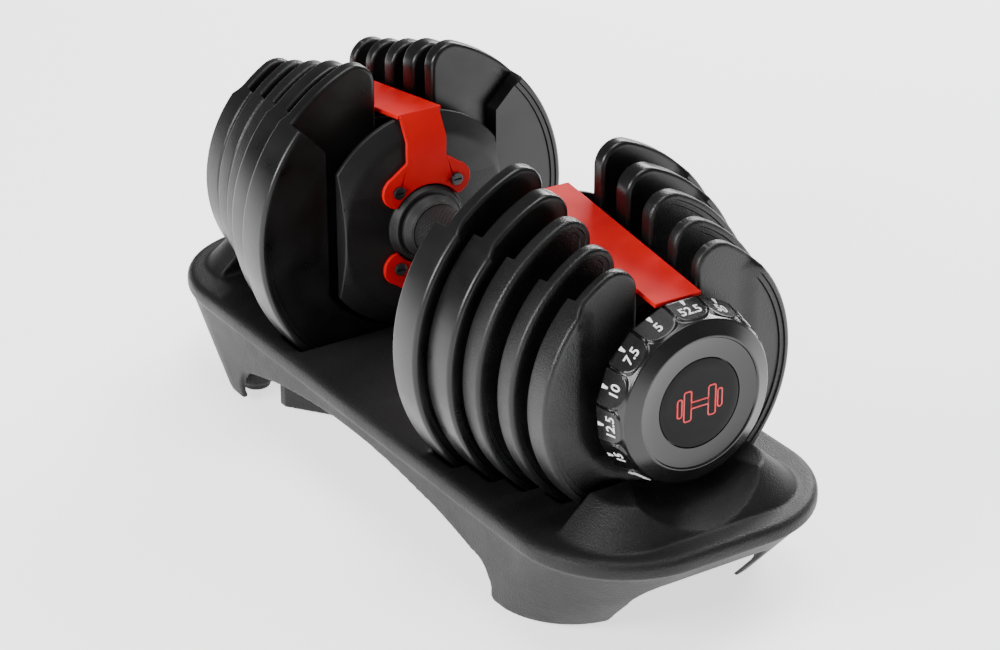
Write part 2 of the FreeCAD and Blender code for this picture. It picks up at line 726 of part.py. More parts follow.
def lock_spring(name, far):
    """Compression spring between the pin and the top of its channel."""
    middle = (num("support_face") + num("support_back")) / 2 + 1
    foot = Vector(middle, 0, -num("pin_top") + num("running_gap"))
    length = num("pin_top") - num("channel_top") - num("running_gap") * 2
    return feature(name, coil(2.2, 0.4, 1.9, length, foot, Vector(0, 0, 1)), far)


def detent_ball(name, far):
    centre = num("support_back") + num("ball_proud") - num("ball_rad")
    ball = Part.makeSphere(num("ball_rad"), Vector(centre, 0, num("detent_out")))
    return feature(name, ball, far)


def detent_spring(name, far):
    back = num("support_face") + num("channel_wall") + num("running_gap")
    length = num("support_back") + num("ball_proud") - 2 * num("ball_rad") - num("running_gap") - back
    foot = Vector(back, 0, num("detent_out"))
    return feature(name, coil(1.7, 0.35, 1.3, length, foot, Vector(1, 0, 0)), far)


def end_bolts(name):
    """One hexagon-socket bolt in each end of the shaft."""
    solids = []
    along = Vector(1, 0, 0)
    rad = num("socket_rad")
    for turn in (0, 180):
        end = num("shaft_end") + num("washer_thick")
        head = Part.makeCylinder(num("bolt_head_rad"), num("bolt_head_high"), Vector(end, 0, 0), along)
        bottom = end + num("bolt_head_high") - num("socket_deep")
        corners = [Vector(bottom, rad * math.cos(math.radians(a)), rad * math.sin(math.radians(a)))
                   for a in range(0, 361, 60)]
        socket = Part.Face(Part.makePolygon(corners)).extrude(along * CLEAR)
        shank = Part.makeCylinder(num("bolt_rad"), num("bolt_deep"), Vector(end, 0, 0), -along)
        bolt = head.cut(socket).fuse(shank)
        bolt.rotate(Vector(0, 0, 0), Vector(0, 0, 1), turn)
        solids.append(bolt)
    return feature(name, Part.makeCompound(solids))


def end_washers(name):
    solids = []
    for turn in (0, 180):
        start = num("shaft_end")
        end = start + num("washer_thick")
        hole = tube(num("bolt_rad") + num("running_gap"), start - 1, end + 1, 0)
        washer = tube(num("washer_rad"), start, end, 0).cut(hole)
        washer.rotate(Vector(0, 0, 0), Vector(0, 0, 1), turn)
        solids.append(washer)
    return feature(name, Part.makeCompound(solids))


# ---------------------------------------------------------------- cradle

def round_wire(length, width, corner, height):
    """Rounded rectangle, given by its half-length and half-width."""
    edges = []
    spots = ((1, 1, 0), (-1, 1, 90), (-1, -1, 180), (1, -1, 270))
    arcs = []
    for sign_x, sign_y, first in spots:
        centre = Vector(sign_x * (length - corner), sign_y * (width - corner), height)
        ends = [centre + Vector(corner * math.cos(math.radians(first + a)),
                                corner * math.sin(math.radians(first + a)), 0) for a in (0, 45, 90)]
        arcs.append(ends)
    for index, ends in enumerate(arcs):
        edges.append(Part.Arc(*ends).toShape())
        edges.append(Part.makeLine(ends[2], arcs[(index + 1) % 4][0]))
    return Part.Wire(edges)


def shell_block(inset, low, rim, top, lip):
    """Outer form of the cradle, or its hollow when inset is the wall's thickness."""
    walls = Part.makeLoft([
        round_wire(num("floor_length") - inset, num("floor_width") - inset, num("floor_corner") - inset, low),
        round_wire(num("rim_length") - inset, num("rim_width") - inset, num("rim_corner") - inset, rim)],
        True, True)
    roof = Part.Face(round_wire(num("rim_length") - inset + lip, num("rim_width") - inset + lip,
                                num("rim_corner") - inset + lip, rim)).extrude(Vector(0, 0, top - rim))
    if lip:
        edges = [edge for edge in roof.Edges
                 if all(abs(point.Point.z - top) < 0.01 for point in edge.Vertexes)]
        roof = roof.makeFillet(4.5, edges)
    return walls.fuse(roof)


def pocket_solids(grow):
    """Round troughs for the five plates of both ends, grown by the wall for their outsides."""
    solids = []
    for index in range(PLATES):
        start, wide, radius = [size.number for size in plate_sizes(index)[:3]]
        side = num("plate_side_gap") + grow
        low = start - side
        high = start + wide + side
        reach = radius + num("plate_gap") + grow
        solids.append(tube(reach, low, high, num("axis_height")))
        solids.append(tube(reach, -high, -low, num("axis_height")))
    return solids


def saddle(sign):
    """Raised block under a dial: sloping round sides, and a scoop that widens outwards."""
    high = num("saddle_high")
    inside = num("saddle_in")
    out = num("saddle_out")
    foot_half = num("saddle_foot_half")
    lower = round_wire(out, foot_half, num("saddle_foot_corner"), num("deck_high") - 1)
    upper = round_wire(out - num("saddle_slope"), num("saddle_top_half"), num("saddle_top_corner"), high)
    solid = Part.makeLoft([lower, upper], True, True)
    solid = solid.common(block(Vector(inside, -foot_half, 0), Vector(out + 1, foot_half, high + 1)))
    rad = num("saddle_scoop")
    scoop = Part.makeCone(rad, rad + num("scoop_flare"), num("scoop_long"),
                          Vector(inside - 2, 0, num("axis_height")), Vector(1, 0, 0))
    solid = solid.cut(scoop)
    if sign < 0:
        solid.rotate(Vector(0, 0, 0), Vector(0, 0, 1), 180)
    return solid


def long_arch():
    """Opening under the cradle's long sides: a flat arc with rounded shoulders."""
    half = num("arch_half")
    high = num("arch_high")
    shoulder = num("arch_shoulder")
    inner = half - num("arch_corner")
    low = shoulder - num("arch_corner_drop")
    middle = Part.Arc(Vector(-inner, 0, shoulder), Vector(0, 0, high), Vector(inner, 0, shoulder))
    right = Part.Arc(Vector(inner, 0, shoulder), Vector(half - 3, 0, shoulder - 5), Vector(half, 0, low))
    left = Part.Arc(Vector(-half, 0, low), Vector(3 - half, 0, shoulder - 5), Vector(-inner, 0, shoulder))
    wire = Part.Wire([middle.toShape(), right.toShape(),
                      Part.makeLine(Vector(half, 0, low), Vector(half, 0, 0)),
                      Part.makeLine(Vector(half, 0, 0), Vector(-half, 0, 0)),
                      Part.makeLine(Vector(-half, 0, 0), Vector(-half, 0, low)), left.toShape()])
    return Part.Face(wire)


def end_arch():
    """Opening under the cradle's ends, with rounded upper corners, as a solid along the handle."""
    half = num("end_arch_half")
    high = num("end_arch_high")
    inside = num("boss_x") + num("rubber_rad") - num("wall")
    tunnel = block(Vector(inside, -half, -CLEAR), Vector(num("rim_length") + CLEAR, half, high))
    corners = [edge for edge in tunnel.Edges
               if edge.BoundBox.ZMin > high - 0.01 and edge.BoundBox.XLength > 1]
    return tunnel.makeFillet(num("end_arch_round"), corners)


def leg_ribs():
    """Walls that close the four legs, from the ends of the long arches diagonally inwards."""
    deck = num("deck_high")
    foot = num("foot_proud")
    outer = Vector(num("rib_out_x"), num("rib_out_y"), foot)
    inner = Vector(num("rib_in_x"), num("rib_in_y"), foot)
    across = (outer - inner).cross(Vector(0, 0, 1)).normalize() * (num("wall") / 2)
    face = Part.Face(Part.makePolygon([outer + across, inner + across, inner - across, outer - across,
                                       outer + across]))
    rib = face.extrude(Vector(0, 0, deck - foot - 1))
    mirrored = rib.mirror(Vector(0, 0, 0), Vector(0, 1, 0))
    ribs = [rib, mirrored]
    for solid in (rib, mirrored):
        ribs.append(solid.mirror(Vector(0, 0, 0), Vector(1, 0, 0)))
    return ribs


def base_tray():
    """Moulded cradle: open below, arches on all sides, pockets for the plates, saddles for the dials."""
    foot = num("foot_proud")
    wall = num("wall")
    deck = num("deck_high")
    outer = shell_block(0, foot, num("rim_low"), deck, num("lip"))
    hollow = shell_block(wall, foot - 1, num("rim_low"), deck - wall, 0)
    shape = outer.cut(hollow)
    long = num("rim_length") + CLEAR
    wide = num("rim_width") + CLEAR
    below_deck = block(Vector(-long, -wide, 0), Vector(long, wide, deck))
    for solid in pocket_solids(wall):
        shape = shape.fuse(solid.common(below_deck).common(outer))
    boss_rad = num("rubber_rad") + num("boss_wall")
    bosses = [Part.makeCylinder(boss_rad, deck - foot - 1, Vector(x, y, foot)).common(outer)
              for x in (-num("boss_x"), num("boss_x")) for y in (-num("boss_y"), num("boss_y"))]
    ribs = [rib.common(outer) for rib in leg_ribs()]
    shape = shape.fuse(bosses + ribs + [saddle(1), saddle(-1)])
    shape = shape.cut(pocket_solids(0))
    reach = wide - num("arch_inside")
    wings = [long_arch().extrude(Vector(0, reach, 0)).translated(Vector(0, y, 0))
             for y in (wide - reach, -wide)]
    ends = [end_arch(), end_arch().mirror(Vector(0, 0, 0), Vector(1, 0, 0))]
    seat_rad = num("rubber_rad") + num("running_gap")
    seats = [Part.makeCylinder(seat_rad, num("rubber_high") - foot, Vector(x, y, foot))
             for x in (-num("boss_x"), num("boss_x")) for y in (-num("boss_y"), num("boss_y"))]
    shape = shape.cut(wings + ends + seats).removeSplitter()
    node = DOC.addObject("Part::Feature", "base_tray")
    node.Label = "base_tray"
    node.Shape = shape
    return node


def rubber_feet():
    """Four round feet under the cradle's corners."""
    solids = []
    for x in (-num("boss_x"), num("boss_x")):
        for y in (-num("boss_y"), num("boss_y")):
            pad_solid = Part.makeCylinder(num("rubber_rad"), num("rubber_high"), Vector(x, y, 0))
            bottom = [edge for edge in pad_solid.Edges if edge.BoundBox.ZMax < 0.01]
            solids.append(pad_solid.makeFillet(num("rubber_round"), bottom))
    node = DOC.addObject("Part::Feature", "rubber_feet")
    node.Label = "rubber_feet"
    node.Shape = Part.makeCompound(solids)
    return node


def lock_posts():
    """Two posts on the deck that push the handle's lock pins up."""
    deck = num("deck_high")
    solids = []
    for turn in (0, 180):
        post = block(Vector(num("support_face") + 1.8, -num("post_across"), deck),
                     Vector(num("support_back") - 0.6, num("post_across"), deck + num("post_high")))
        top = [edge for edge in post.Edges if edge.BoundBox.ZMin > deck + num("post_high") - 0.01]
        post = post.makeFillet(num("post_round"), top)
        post.rotate(Vector(0, 0, 0), Vector(0, 0, 1), turn)
        solids.append(post)
    node = DOC.addObject("Part::Feature", "lock_posts")
    node.Label = "lock_posts"
    node.Shape = Part.makeCompound(solids)
    return node


# ---------------------------------------------------------------- assembly

def end_pieces(side, far):
    """Every piece of one end of the dumbbell."""
    nodes = plates(side, far)
    for index in range(PLATES):
        nodes.append(selector_disc("selector_disc_%s_%d" % (side, index + 1), index, far))
    for make, name in ((dial, "dial_"), (emblem_cap, "emblem_cap_"), (grip_collar, "grip_collar_"),
                       (support_disc, "support_disc_"), (upper_bridge, "upper_bridge_"),
                       (lower_bracket, "lower_bracket_"), (lock_pin, "lock_pin_"),
                       (lock_spring, "lock_spring_"), (detent_ball, "detent_ball_"),
                       (detent_spring, "detent_spring_")):
        nodes.append(make(name + side, far))
    return nodes


def check(nodes):
    for thing in DOC.Objects:
        if "Invalid" in thing.State or "Error" in thing.State:
            raise RuntimeError("%s is %s" % (thing.Name, thing.State))
    for node in nodes:
        shape = node.Shape
        if shape.isNull() or not shape.isValid() or shape.Volume <= 0:
            raise RuntimeError("%s has a bad shape" % node.Label)


def main():
    nodes = [base_tray(), rubber_feet(), lock_posts(), handle_shaft(), grip_sleeve(),
             foot_screws("bridge_screws", 1), foot_screws("bracket_screws", -1),
             end_bolts("end_bolts"), end_washers("end_washers")]
    nodes += end_pieces("near", False)
    nodes += end_pieces("far", True)
    DOC.recompute()
    check(nodes)
    os.makedirs("parts", exist_ok=True)
    for node in nodes:
        node.Shape.exportStep("parts/%s.step" % node.Label)
    print(len(nodes), "nodes written")


main()
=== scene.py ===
import json
import math

import bmesh
import bpy
from mathutils import Matrix, Vector
from mathutils.geometry import delaunay_2d_cdt

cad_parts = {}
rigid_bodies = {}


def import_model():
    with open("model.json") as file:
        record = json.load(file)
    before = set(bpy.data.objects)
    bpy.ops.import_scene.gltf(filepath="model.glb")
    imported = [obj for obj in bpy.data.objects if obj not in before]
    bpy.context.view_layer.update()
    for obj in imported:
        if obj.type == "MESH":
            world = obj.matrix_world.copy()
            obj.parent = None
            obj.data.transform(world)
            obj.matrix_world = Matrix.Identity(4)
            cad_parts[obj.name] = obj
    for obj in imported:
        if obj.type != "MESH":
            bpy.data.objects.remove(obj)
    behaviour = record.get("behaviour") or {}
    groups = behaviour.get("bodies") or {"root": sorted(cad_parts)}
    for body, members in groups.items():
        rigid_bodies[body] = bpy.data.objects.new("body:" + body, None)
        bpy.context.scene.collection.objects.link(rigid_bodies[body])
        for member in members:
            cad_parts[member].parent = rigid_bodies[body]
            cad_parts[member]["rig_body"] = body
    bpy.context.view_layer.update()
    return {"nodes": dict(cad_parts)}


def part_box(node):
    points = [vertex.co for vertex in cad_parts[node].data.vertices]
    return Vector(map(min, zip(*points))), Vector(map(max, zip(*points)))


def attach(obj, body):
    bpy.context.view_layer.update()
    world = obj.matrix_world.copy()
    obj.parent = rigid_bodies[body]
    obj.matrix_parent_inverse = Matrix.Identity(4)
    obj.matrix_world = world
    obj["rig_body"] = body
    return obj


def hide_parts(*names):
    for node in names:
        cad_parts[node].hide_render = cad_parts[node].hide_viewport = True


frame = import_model()
NODES = frame["nodes"]

# Metres. The handle runs along X; "near" is its +X end.
MM = 0.001
SIDES = (("near", 1), ("far", -1))
PLATES = 5
SATIN_PLATES = 2
SETTINGS = 15
DIAL_LABELS = ("5", "7.5", "10", "12.5", "15", "17.5", "20", "22.5", "25", "30", "35", "40", "45", "50",
               "52.5")
SHAFT_LOW, SHAFT_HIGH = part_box("handle_shaft")
AXIS_Z = (SHAFT_LOW.z + SHAFT_HIGH.z) / 2
# Points closer than this become one: across the seams of a CAD piece, and where rings close.
SEAM_WELD = 0.002 * MM
POINT_WELD = 0.0001 * MM


# ---------------------------------------------------------------- node materials

class Nodes:
    """A material's node tree with short ways to add and join nodes."""

    def __init__(self, name):
        self.material = bpy.data.materials.new(name)
        self.material.use_nodes = True
        self.tree = self.material.node_tree
        self.shader = self.tree.nodes["Principled BSDF"]
        self.place = self.add("ShaderNodeTexCoord").outputs["Object"]

    def add(self, kind, **inputs):
        """A new node with some of its inputs set."""
        node = self.tree.nodes.new(kind)
        for key, setting in inputs.items():
            node.inputs[key].default_value = setting
        return node

    def join(self, output, socket):
        self.tree.links.new(output, socket)

    def noise(self, scale, detail=2.0, stretch=None, rough=0.5):
        """Noise over the object's own space, finer along the axes that are stretched."""
        node = self.add("ShaderNodeTexNoise", Scale=scale, Detail=detail, Roughness=rough)
        place = self.place
        if stretch:
            mapping = self.add("ShaderNodeMapping", Scale=stretch)
            self.join(place, mapping.inputs["Vector"])
            place = mapping.outputs["Vector"]
        self.join(place, node.inputs["Vector"])
        return node.outputs["Fac"]

    def spread(self, output, low, high, start=0.3, end=0.7):
        """The output's range from start to end, mapped on low to high."""
        node = self.add("ShaderNodeMapRange")
        for key, setting in (("From Min", start), ("From Max", end), ("To Min", low), ("To Max", high)):
            node.inputs[key].default_value = setting
        self.join(output, node.inputs["Value"])
        return node.outputs["Result"]

    def math(self, way, first, second):
        """Arithmetic on outputs or plain numbers."""
        node = self.add("ShaderNodeMath")
        node.operation = way
        for socket, thing in zip(node.inputs, (first, second)):
            if isinstance(thing, (int, float)):
                socket.default_value = thing
            else:
                self.join(thing, socket)
        return node.outputs["Value"]

    def mix(self, share, first, second):
        """From the first colour to the second by share; each is a tuple or an output."""
        node = self.add("ShaderNodeMix")
        node.data_type = "RGBA"
        self.join(share, node.inputs["Factor"])
        for socket, colour in ((node.inputs[6], first), (node.inputs[7], second)):
            if isinstance(colour, tuple):
                socket.default_value = (*colour, 1)
            else:
                self.join(colour, socket)
        return node.outputs[2]

    def edges(self, low, high):
        """1 on sharp outer edges, 0 elsewhere: the mask for the painted edge highlights."""
        return self.spread(self.add("ShaderNodeNewGeometry").outputs["Pointiness"], 0, 1, low, high)

    def bump(self, output, depth, strength=1.0, before=None):
        """Normal of a surface raised by the output, on top of an earlier bump if there is one."""
        node = self.add("ShaderNodeBump", Strength=strength, Distance=depth)
        self.join(output, node.inputs["Height"])
        if before:
            self.join(before, node.inputs["Normal"])
        return node.outputs["Normal"]

    def finish(self, colour, rough, normal, **uniform):
        """Join the outputs to the shader and set its uniform inputs."""
        self.join(colour, self.shader.inputs["Base Color"])
        self.join(rough, self.shader.inputs["Roughness"])
        self.join(normal, self.shader.inputs["Normal"])
        for key, setting in uniform.items():
            self.shader.inputs[key.replace("_", " ")].default_value = setting
        return self.material


def grey(level):
    """Near-black with a trace of blue."""
    return (level, level, level * 1.04)


def moulded(name, level, rough, grain, depth, contrast=0.25, streaks=None, speckle=0.0, **uniform):
    """Moulded black plastic: grain in the skin, cloudy gloss, handling marks, and a painted highlight that
    makes sharp edges paler.
    """
    n = Nodes(name)
    fine = n.noise(1 / grain, 3.0)
    cloud = n.noise(14, 4.0, streaks)
    marks = n.noise(90, 5.0, (1, 0.25, 1), 0.65)
    base = n.mix(n.spread(cloud, 0, 1), grey(level * (1 - contrast)), grey(level * (1 + contrast)))
    if speckle:
        base = n.mix(n.spread(fine, 0, speckle, 0.55, 0.75), base, grey(level * 4))
    # Painted highlight: sharp edges mixed towards a paler grey, standing in for the glints on them.
    base = n.mix(n.math("MULTIPLY", n.edges(0.52, 0.6), 0.6), base, grey(level * 4 + 0.02))
    gloss = n.math("ADD", n.spread(cloud, rough - 0.07, rough + 0.05), n.spread(marks, -0.03, 0.04))
    skin = n.bump(fine, depth, 0.8)
    skin = n.bump(marks, depth * 0.5, 0.25, skin)
    return n.finish(base, gloss, skin, **uniform)


def painted(name, colour, dark, rough):
    """Powder coat: slight orange peel, worn darker and duller in patches, and a painted highlight of
    brighter red on sharp edges.
    """
    n = Nodes(name)
    peel = n.noise(1400, 2.0)
    cloud = n.noise(20, 4.0)
    base = n.mix(n.spread(cloud, 0, 1), dark, colour)
    # Painted highlight: sharp edges mixed towards a brighter red, standing in for the glints on them.
    base = n.mix(n.math("MULTIPLY", n.edges(0.53, 0.65), 0.3), base, (0.9, 0.06, 0.05))
    gloss = n.math("ADD", n.spread(cloud, rough + 0.06, rough - 0.04), n.spread(peel, -0.02, 0.04))
    return n.finish(base, gloss, n.bump(peel, 0.00005, 0.5), Specular_IOR_Level=0.12)


def metal(name, level, rough, stretch):
    """Turned or drawn steel with fine lines."""
    n = Nodes(name)
    lines = n.noise(260, 4.0, stretch, 0.7)
    cloud = n.noise(30, 3.0)
    base = n.mix(n.spread(cloud, 0, 1), grey(level * 0.85), grey(level * 1.1))
    gloss = n.math("ADD", n.spread(lines, rough - 0.08, rough + 0.1), n.spread(cloud, -0.03, 0.05))
    return n.finish(base, gloss, n.bump(lines, 0.00003, 0.5), Metallic=1.0)


def marked(name, colour, rough):
    """Printed or filled marks: nearly even colour, slightly broken up."""
    n = Nodes(name)
    wear = n.noise(700, 4.0)
    base = n.mix(n.spread(wear, 0, 1), tuple(0.86 * part for part in colour), colour)
    return n.finish(base, n.spread(wear, rough - 0.05, rough + 0.1), n.bump(wear, 0.00002, 0.4))


CRADLE = moulded("cradle_plastic", level=0.006, rough=0.5, grain=1.0 * MM, depth=0.5 * MM, speckle=0.4,
                 Specular_IOR_Level=0.3)
PLATE_SMOOTH = moulded("plate_satin", level=0.004, rough=0.33, grain=0.6 * MM, depth=0.06 * MM,
                       contrast=0.5, streaks=(1, 3, 3), Specular_IOR_Level=0.42)
PLATE_SANDY = moulded("plate_sandy", level=0.004, rough=0.38, grain=0.9 * MM, depth=0.3 * MM,
                      contrast=0.4, streaks=(1, 2, 2), speckle=0.3, Specular_IOR_Level=0.42)
DISC = moulded("disc_nylon", level=0.006, rough=0.42, grain=0.5 * MM, depth=0.05 * MM,
               Specular_IOR_Level=0.4)
SUPPORT = moulded("support_plastic", level=0.005, rough=0.46, grain=0.8 * MM, depth=0.15 * MM,
                  Specular_IOR_Level=0.35)
DIAL = moulded("dial_plastic", level=0.005, rough=0.25, grain=0.4 * MM, depth=0.03 * MM,
               Specular_IOR_Level=0.5)
CAP = moulded("cap_plastic", level=0.006, rough=0.55, grain=0.4 * MM, depth=0.04 * MM,
              Specular_IOR_Level=0.14)
GRIP = moulded("grip_rubber", level=0.008, rough=0.5, grain=0.7 * MM, depth=0.08 * MM,
               Specular_IOR_Level=0.35)
RUBBER = moulded("foot_rubber", level=0.008, rough=0.75, grain=0.6 * MM, depth=0.08 * MM)
RED = painted("red_powder_coat", colour=(0.6, 0.002, 0.003), dark=(0.42, 0.001, 0.003), rough=0.55)
WHITE = marked("white_print", colour=(0.86, 0.86, 0.86), rough=0.45)
RED_PRINT = marked("red_print", colour=(0.72, 0.02, 0.025), rough=0.4)
STEEL = metal("turned_steel", level=0.55, rough=0.3, stretch=(30, 1, 1))
WIRE = metal("spring_wire", level=0.4, rough=0.32, stretch=(1, 1, 1))
SCREW = metal("black_oxide", level=0.06, rough=0.4, stretch=(1, 1, 1))
CORE = metal("cast_core", level=0.16, rough=0.6, stretch=(1, 1, 1))


# ---------------------------------------------------------------- mesh helpers

# Degrees over which an edge counts as sharp.
SHARP_ANGLE = 32


def linked(name, data):
    """A new object in the scene."""
    obj = bpy.data.objects.new(name, data)
    bpy.context.scene.collection.objects.link(obj)
    return obj


def baked(work):
    """The mesh that a working object's curve or modifiers make. The object is removed."""
    made = bpy.data.meshes.new_from_object(work.evaluated_get(bpy.context.evaluated_depsgraph_get()))
    bpy.data.objects.remove(work)
    return made


def as_mesh(bm, name):
    """The bmesh as a mesh. The bmesh is freed."""
    mesh = bpy.data.meshes.new(name)
    bm.to_mesh(mesh)
    bm.free()
    return mesh


def join_rings(bm, ring, after):
    """Four-sided faces between two closed rows with the same number of points."""
    for step in range(len(ring)):
        following = (step + 1) % len(ring)
        bm.faces.new((ring[step], ring[following], after[following], after[step]))


def new_object(name, mesh, material, body, slot, *nodes):
    """A finished piece: its material, the body it rides on and the CAD nodes it stands in for."""
    obj = linked(name, mesh)
    mesh.materials.clear()
    mesh.materials.append(material)
    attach(obj, body)
    if nodes:
        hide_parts(*nodes)
    return obj


def smooth(mesh, angle=SHARP_ANGLE):
    """Smooth shading, with edges over an angle in degrees kept sharp."""
    mesh.shade_smooth()
    mesh.set_sharp_from_angle(angle=math.radians(angle))


def bevelled(mesh, width):
    """The mesh with its sharp edges rounded."""
    work = linked("bevel_work", mesh)
    bevel = work.modifiers.new("round", "BEVEL")
    bevel.width = width
    bevel.segments = 3
    bevel.limit_method = "ANGLE"
    bevel.angle_limit = math.radians(SHARP_ANGLE)
    bevel.use_clamp_overlap = False
    bevel.miter_outer = "MITER_ARC"
    even = work.modifiers.new("even", "WEIGHTED_NORMAL")
    even.weight = 100
    even.keep_sharp = True
    return baked(work)


def cleaned(mesh):
    """A copy with the seams between a CAD piece's faces joined."""
    bm = bmesh.new()
    bm.from_mesh(mesh)
    bmesh.ops.remove_doubles(bm, verts=bm.verts, dist=SEAM_WELD)
    return as_mesh(bm, "clean")


def softened(node, material, slot, width):
    """A CAD piece with its sharp edges rounded, in place of the plain one."""
    source = NODES[node]
    plain = cleaned(source.data)
    smooth(plain, angle=60)
    mesh = bevelled(plain, width)
    mesh.name = node + "_visual"
    return new_object(node + "_visual", mesh, material, source["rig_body"], slot, node)


def lathe(rows, side, steps):
    """Mesh turned about the handle's axis from rows of (x, radius); a radius may be a function of angle.
    The last row joins the first, and a row of radius 0 shrinks to a point."""
    bm = bmesh.new()
    rings = []
    for x, radius in rows:
        ring = []
        for step in range(steps):
            angle = 2 * math.pi * step / steps
            reach = radius(angle) if callable(radius) else radius
            ring.append(bm.verts.new((side * x, side * reach * math.cos(angle),
                                      AXIS_Z + reach * math.sin(angle))))
        rings.append(ring)
    for ring, after in zip(rings, rings[1:] + rings[:1]):
        join_rings(bm, ring, after)
    bmesh.ops.remove_doubles(bm, verts=bm.verts, dist=POINT_WELD)
    bmesh.ops.recalc_face_normals(bm, faces=bm.faces)
    return as_mesh(bm, "lathe")


# ---------------------------------------------------------------- dial

DIAL_LOW, DIAL_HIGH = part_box("dial_near")
DIAL_BACK = DIAL_LOW.x
DIAL_FRONT = DIAL_HIGH.x
DIAL_RAD = (DIAL_HIGH.y - DIAL_LOW.y) / 2
BORE_RAD = 9.1 * MM
HUB_RAD = 20.5 * MM
HUB_FLOOR = 10.1 * MM
DIAL_STEPS = SETTINGS * 30
# Number pads: length of the ring that carries them, how far it tapers, depth of the ground between them.
PAD_LONG = 16.6 * MM
PAD_TAPER = 4.2 * MM
PAD_SINK = 1.3 * MM
PAD_STEP = 2 * math.pi / SETTINGS
# A pad's outline is a squarish oval: half width, where its front begins to close and over what length.
PAD_HALF = 9.5 * MM
PAD_FRONT_FROM = 6.5 * MM
PAD_FRONT_LONG = 9.0 * MM
PAD_POWER = 2.8
PAD_OUTSIDE = 1.15
PAD_EDGE = 0.25
# Distance of a pad's flat from the axis, as a share of the cone's radius.
FACET = 0.984
# Where the first row over the pads lies, and how many steps lead from it to the ring's front.
RING_FROM = 1.1 * MM
RING_STEPS = 34
# Sections in millimetres. Rows of the flat back: (inwards). Rounding from it to the pads: (forward,
# inwards). Rounding at the ring's front: (forward, inwards). Rings of the face: (depth
# below the front, radius). Seat of the cap: (depth below the front, gap to the cap).
BACK_FACE = (4.5, 2.6)
BACK_ROUND = ((0.2, 0.9), (0.6, 0.3))
FRONT_ROUND = ((0.25, 0.05), (0.55, 0.35), (0.75, 0.8))
FACE_RINGS = ((0.45, 36.6), (0.18, 36.0), (0.2, 35.5), (0.5, 35.1), (0.95, 34.95), (1.1, 34.7))
CAP_SEAT = ((1.1, 1.0), (1.2, 0.6), (1.7, 0.45), (3.4, 0.4))
SEAT_DEEP = CAP_SEAT[-1][0] * MM
CAP_RAD = 24 * MM
CAP_SUNK = 1.05 * MM
CAP_THICK = 2.4 * MM
CAP_EDGE = 0.5 * MM
CAP_CHAMFER = 0.15 * MM
CAP_CROWN = 0.1 * MM
CROWN_STEPS = 6
CAP_STEPS = 128
# Numbers on the pads: height, middle and lift above the flat. Wedge marks: outline in millimetres
# (along, across), and the lifts of their underside and top.
LABEL_SIZE = 7.4 * MM
LABEL_CENTRE = 9.4 * MM
LABEL_LIFT = 0.16 * MM
LABEL_THICK = 0.12 * MM
LABEL_BOLD = 0.1 * MM
WEDGE = ((1.3, -1.15), (1.3, 1.15), (4.6, 0.5), (4.9, 0.0), (4.6, -0.5))
WEDGE_LIFTS = (-0.2 * MM, 0.22 * MM)
# Emblem: boxes in millimetres (left, right, half height), the half height over which a box's corners
# are well rounded, the line's half thickness, its depth below the dial's front, and its flattening.
EMBLEM_BOXES = ((5.2, 9.6, 8.2), (-9.6, -5.2, 8.2), (10.9, 13.6, 5.0), (-13.6, -10.9, 5.0),
                (-5.2, 5.2, 1.7))
EMBLEM_TALL = 2
EMBLEM_CORNER = 1.2
EMBLEM_BAR_CORNER = 0.1
EMBLEM_LINE = 0.5 * MM
EMBLEM_SUNK = 1.0 * MM
EMBLEM_FLATTEN = 0.3


def cone_radius(along):
    """Radius of the number ring's outside at a distance from its back."""
    return DIAL_RAD - PAD_TAPER * along / PAD_LONG


def pad_angle(index):
    """Angle of a pad about the axis; the last label, 52.5, is at the top."""
    return math.pi / 2 + PAD_STEP * (index + 1)


def pad_radius(along):
    """Radius over the ring's 15 flat number pads, which have round fronts, and the sunk ground between."""
    cone = cone_radius(along)
    ground = cone - PAD_SINK
    forward = max(0.0, along - PAD_FRONT_FROM) / PAD_FRONT_LONG

    def radius(angle):
        nearest = round((angle - math.pi / 2) / PAD_STEP) * PAD_STEP + math.pi / 2
        off = angle - nearest
        across = abs(off) * cone / PAD_HALF
        shape = across ** PAD_POWER + forward ** PAD_POWER
        share = min(1.0, max(0.0, (PAD_OUTSIDE - shape) / PAD_EDGE))
        share = share * share * (3 - 2 * share)
        flat = min(cone * FACET / math.cos(off), DIAL_RAD)
        return ground + (flat - ground) * share
    return radius


def number_ring(side_name, side):
    """The dial's body: number pads outside, a ringed face, a seat for the cap, and the bore."""
    at_back = pad_radius(0)
    rows = [(DIAL_BACK, BORE_RAD)]
    rows += [(DIAL_BACK, DIAL_RAD - inwards * MM) for inwards in BACK_FACE]
    for along, inwards in BACK_ROUND:
        rows.append((DIAL_BACK + along * MM, lambda angle, inwards=inwards: at_back(angle) - inwards * MM))
    for step in range(RING_STEPS + 1):
        along = RING_FROM + (PAD_LONG - RING_FROM) * step / RING_STEPS
        rows.append((DIAL_BACK + along, pad_radius(along)))
    ground = cone_radius(PAD_LONG) - PAD_SINK
    end = DIAL_BACK + PAD_LONG
    rows += [(end + forward * MM, ground - inwards * MM) for forward, inwards in FRONT_ROUND]
    rows += [(DIAL_FRONT - depth * MM, radius * MM) for depth, radius in FACE_RINGS]
    rows += [(DIAL_FRONT - depth * MM, CAP_RAD + gap * MM) for depth, gap in CAP_SEAT]
    rows += [(DIAL_FRONT - SEAT_DEEP, HUB_RAD), (DIAL_BACK + HUB_FLOOR, HUB_RAD),
             (DIAL_BACK + HUB_FLOOR, BORE_RAD)]
    mesh = lathe(rows, side, DIAL_STEPS)
    smooth(mesh, angle=50)
    name = "dial_" + side_name
    return new_object(name + "_visual", mesh, DIAL, name, "dial_plastic", name)


